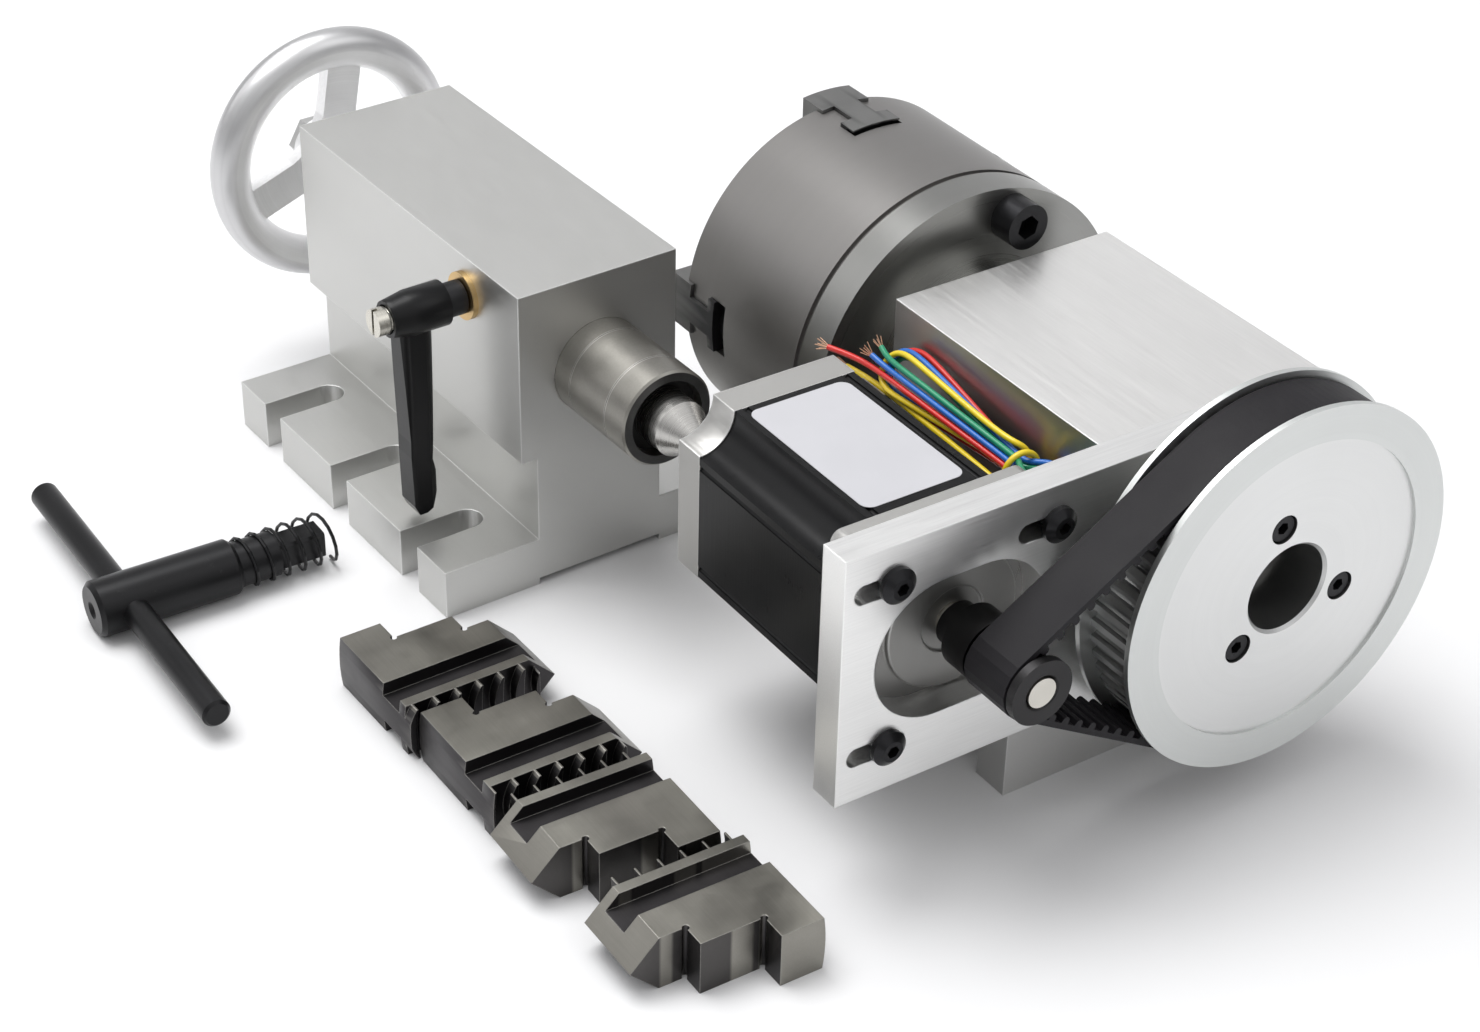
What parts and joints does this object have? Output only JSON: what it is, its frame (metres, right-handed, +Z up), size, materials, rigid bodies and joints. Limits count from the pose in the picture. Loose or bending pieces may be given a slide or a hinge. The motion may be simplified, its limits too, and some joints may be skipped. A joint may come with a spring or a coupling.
{
  "type": "cnc rotary axis",
  "caption": "Belt-driven rotary axis for a milling machine: hollow-spindle headstock with stepper motor and scroll chuck, plus tailstock, chuck key and outside jaws.",
  "frame": {"origin": "on the base plane, under the spindle axis, at the middle of the headstock block", "axes": "+Y along the spindle axis towards the chuck face, -X towards the motor, +Z up"},
  "size_m": [0.2772, 0.3416, 0.116],
  "materials": {
    "headstock_block": "milled",
    "spindle_bearing_outers": "ground",
    "spindle_bearing_inners": "ground",
    "front_seal": "matt",
    "spindle": "turned",
    "spindle_nut": "blackened",
    "motor_plate": "brushed",
    "plate_screws": "blackened",
    "large_pulley": "turned",
    "pulley_flanges": "turned",
    "pulley_screws": "blackened",
    "timing_belt": "matt",
    "small_pulley": "blackened",
    "pulley_set_screw": "blackened",
    "motor_shaft": "ground",
    "motor_flange": "cast and milled",
    "motor_stator": "black semi-gloss",
    "motor_rear_cap": "cast and milled",
    "motor_mount_screws": "blackened",
    "motor_case_screws": "zinc plated",
    "motor_label": "blank white sticker",
    "lead_grommet": "matt",
    "lead_red": "smooth insulation",
    "lead_yellow": "smooth insulation",
    "lead_blue": "smooth insulation",
    "lead_green": "smooth insulation",
    "lead_hank": "folded insulated leads",
    "chuck_back_plate": "turned",
    "back_plate_screws": "blackened",
    "chuck_mount_screws": "blackened",
    "chuck_body": "ground",
    "chuck_cover": "turned",
    "scroll": "milled",
    "pinion_1": "milled",
    "pinion_2": "milled",
    "pinion_pins": "ground",
    "jaw_1": "blackened and ground",
    "jaw_2": "blackened and ground",
    "jaw_3": "blackened and ground",
    "jaw_4": "blackened and ground",
    "tailstock_body": "satin anodised",
    "tail_end_cap": "turned",
    "tail_cap_screws": "blackened",
    "quill": "ground",
    "live_centre": "polished",
    "centre_bearing": "shielded",
    "lead_screw": "rolled thread",
    "handwheel": "cast, satin",
    "handwheel_nut": "zinc plated",
    "quill_key_screw": "blackened",
    "clamp_bush": "turned",
    "clamp_stud": "blackened",
    "lever_handle": "moulded, fine grain",
    "lever_screw": "zinc plated",
    "lever_spring": "spring wire",
    "key_body": "black oxide",
    "key_bar": "black oxide",
    "key_spring": "black spring wire",
    "spare_jaws_a": "ground sides, black steps",
    "spare_jaws_b": "ground sides, black steps"
  },
  "bodies": {
    "base": {"headstock_block": "headstock_block", "spindle_bearing_outers": "spindle_bearing_outers", "front_seal": "front_seal", "motor_plate": "motor_plate", "plate_screws": "plate_screws", "timing_belt": "timing_belt", "motor_flange": "motor_flange", "motor_stator": "motor_stator", "motor_rear_cap": "motor_rear_cap", "motor_mount_screws": "motor_mount_screws", "motor_case_screws": "motor_case_screws", "motor_label": "motor_label", "lead_grommet": "lead_grommet", "lead_red": "lead_red", "lead_yellow": "lead_yellow", "lead_blue": "lead_blue", "lead_green": "lead_green", "lead_hank": "lead_hank", "tailstock_body": "tailstock_body", "tail_end_cap": "tail_end_cap", "tail_cap_screws": "tail_cap_screws", "quill_key_screw": "quill_key_screw", "clamp_bush": "clamp_bush", "key_body": "key_body", "key_bar": "key_bar", "key_spring": "key_spring", "spare_jaws_a": "spare_jaws_a", "spare_jaws_b": "spare_jaws_b"},
    "spindle_group": {"spindle": "spindle", "spindle_nut": "spindle_nut", "spindle_bearing_inners": "spindle_bearing_inners", "large_pulley": "large_pulley", "pulley_flanges": "pulley_flanges", "pulley_screws": "pulley_screws", "chuck_back_plate": "chuck_back_plate", "back_plate_screws": "back_plate_screws", "chuck_mount_screws": "chuck_mount_screws", "chuck_body": "chuck_body", "chuck_cover": "chuck_cover", "pinion_pins": "pinion_pins"},
    "motor_rotor": {"motor_shaft": "motor_shaft", "small_pulley": "small_pulley", "pulley_set_screw": "pulley_set_screw"},
    "scroll": {"scroll": "scroll"},
    "pinion_1": {"pinion_1": "pinion_1"},
    "pinion_2": {"pinion_2": "pinion_2"},
    "jaw_1": {"jaw_1": "jaw_1"},
    "jaw_2": {"jaw_2": "jaw_2"},
    "jaw_3": {"jaw_3": "jaw_3"},
    "jaw_4": {"jaw_4": "jaw_4"},
    "screw_group": {"lead_screw": "lead_screw", "handwheel": "handwheel", "handwheel_nut": "handwheel_nut"},
    "quill": {"quill": "quill", "centre_bearing": "centre_bearing"},
    "live_centre": {"live_centre": "live_centre"},
    "clamp_stud": {"clamp_stud": "clamp_stud", "lever_screw": "lever_screw", "lever_spring": "lever_spring"},
    "lever": {"lever_handle": "lever_handle"}
  },
  "joints": [
    {"name": "spindle_spin", "type": "hinge", "parent": "base", "child": "spindle_group", "pos_m": [0, 0, 0.065], "axis": [0, 1, 0], "continuous": true, "deforming": ["timing_belt"]},
    {"name": "motor_spin", "type": "hinge", "parent": "base", "child": "motor_rotor", "pos_m": [-0.07696, 0, 0.065], "axis": [0, 1, 0], "continuous": true},
    {"name": "scroll_turn", "type": "hinge", "parent": "spindle_group", "child": "scroll", "pos_m": [0, 0, 0.065], "axis": [0, 1, 0], "range_deg": [-311.81, 623.62]},
    {"name": "centre_spin", "type": "hinge", "parent": "quill", "child": "live_centre", "pos_m": [-0.0877, 0.1025, 0.065], "axis": [-0.0288, 0.9996, 0], "continuous": true},
    {"name": "handwheel_turn", "type": "hinge", "parent": "base", "child": "screw_group", "pos_m": [-0.0877, 0.1025, 0.065], "axis": [-0.0288, 0.9996, 0], "range_deg": [-5400, 1800]},
    {"name": "quill_slide", "type": "slide", "parent": "base", "child": "quill", "axis": [-0.0288, 0.9996, 0], "range_m": [-0.01, 0.03]},
    {"name": "clamp_turn", "type": "hinge", "parent": "base", "child": "clamp_stud", "pos_m": [-0.11847, 0.12862, 0.0815], "axis": [-0.9996, -0.0288, 0], "range_deg": [-60, 60]},
    {"name": "lever_lift", "type": "slide", "parent": "clamp_stud", "child": "lever", "axis": [-0.9996, -0.0288, 0], "range_m": [0, 0.0035], "stiffness_N_per_m": 800, "springref_m": -0.002, "deforming": ["lever_spring"]},
    {"name": "jaw_1_slide", "type": "slide", "parent": "spindle_group", "child": "jaw_1", "axis": [1, 0, 0], "range_m": [-0.0056, 0.0111]},
    {"name": "jaw_2_slide", "type": "slide", "parent": "spindle_group", "child": "jaw_2", "axis": [0, 0, 1], "range_m": [-0.0056, 0.0111]},
    {"name": "jaw_3_slide", "type": "slide", "parent": "spindle_group", "child": "jaw_3", "axis": [-1, 0, 0], "range_m": [-0.0056, 0.0111]},
    {"name": "jaw_4_slide", "type": "slide", "parent": "spindle_group", "child": "jaw_4", "axis": [0, 0, -1], "range_m": [-0.0056, 0.0111]},
    {"name": "pinion_1_turn", "type": "hinge", "parent": "spindle_group", "child": "pinion_1", "pos_m": [0, 0.0804, 0.065], "axis": [0.7071, 0, 0.7071], "range_deg": [-2496.5, 1249.2]},
    {"name": "pinion_2_turn", "type": "hinge", "parent": "spindle_group", "child": "pinion_2", "pos_m": [0, 0.0804, 0.065], "axis": [-0.7071, 0, -0.7071], "range_deg": [-2496.5, 1249.2]}
  ],
  "couplings": [
    {"joint": "motor_spin", "follows": "spindle_spin", "ratio": 6},
    {"joint": "quill_slide", "follows": "handwheel_turn", "m_per_rad": -0.00031831},
    {"joint": "jaw_1_slide", "follows": "scroll_turn", "m_per_rad": 0.0010106},
    {"joint": "jaw_2_slide", "follows": "scroll_turn", "m_per_rad": 0.0010106},
    {"joint": "jaw_3_slide", "follows": "scroll_turn", "m_per_rad": 0.0010106},
    {"joint": "jaw_4_slide", "follows": "scroll_turn", "m_per_rad": 0.0010106},
    {"joint": "pinion_1_turn", "follows": "scroll_turn", "ratio": -4},
    {"joint": "pinion_2_turn", "follows": "scroll_turn", "ratio": -4}
  ]
}
